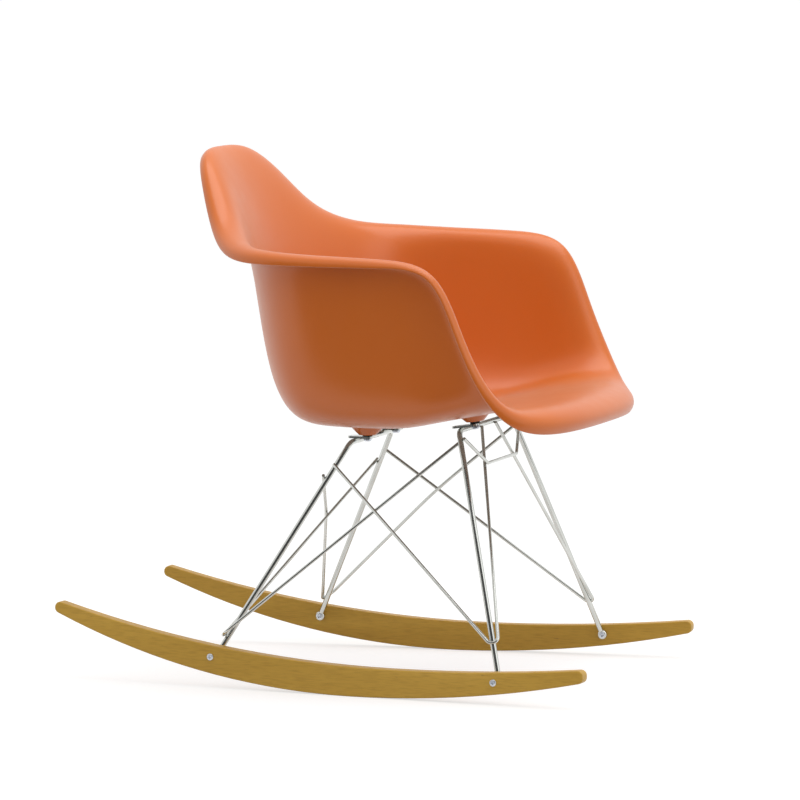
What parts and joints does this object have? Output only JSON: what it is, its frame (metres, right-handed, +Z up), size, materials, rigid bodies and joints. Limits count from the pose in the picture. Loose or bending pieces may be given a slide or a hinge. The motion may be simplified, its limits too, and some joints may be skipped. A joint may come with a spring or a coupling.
{
  "type": "rocking chair",
  "caption": "Rocking armchair: one-piece moulded plastic bucket seat with rolled rim, on a welded chromed rod and wire base with curved wooden runners.",
  "frame": {"origin": "on the floor, under the middle of the runners' length, on the plane of symmetry", "axes": "+Z up, -Y to the front of the chair, +X to the sitter's left"},
  "size_m": [0.643, 0.8092, 0.7563],
  "materials": {
    "shell_plastic": "satin",
    "maple": "satin lacquer",
    "chromed_steel": "polished",
    "fastener_steel": "zinc plated",
    "spacer_rubber": "matte"
  },
  "bodies": {
    "root": {"foot_lug_front_left": "chromed_steel", "foot_lug_front_right": "chromed_steel", "foot_lug_rear_left": "chromed_steel", "foot_lug_rear_right": "chromed_steel", "front_leg_rod": "chromed_steel", "front_spacers": "spacer_rubber", "mount_plate_front_left": "chromed_steel", "mount_plate_front_right": "chromed_steel", "mount_plate_rear_left": "chromed_steel", "mount_plate_rear_right": "chromed_steel", "mount_washers": "fastener_steel", "rear_leg_rod": "chromed_steel", "rear_spacers": "spacer_rubber", "runner_left": "maple", "runner_right": "maple", "runner_screws": "fastener_steel", "seat_shell": "shell_plastic", "shell_screws": "fastener_steel", "threaded_inserts": "fastener_steel", "truss_wire": "chromed_steel", "wire_front_left": "chromed_steel", "wire_front_right": "chromed_steel", "wire_rear_left": "chromed_steel", "wire_rear_right": "chromed_steel"}
  },
  "joints": []
}
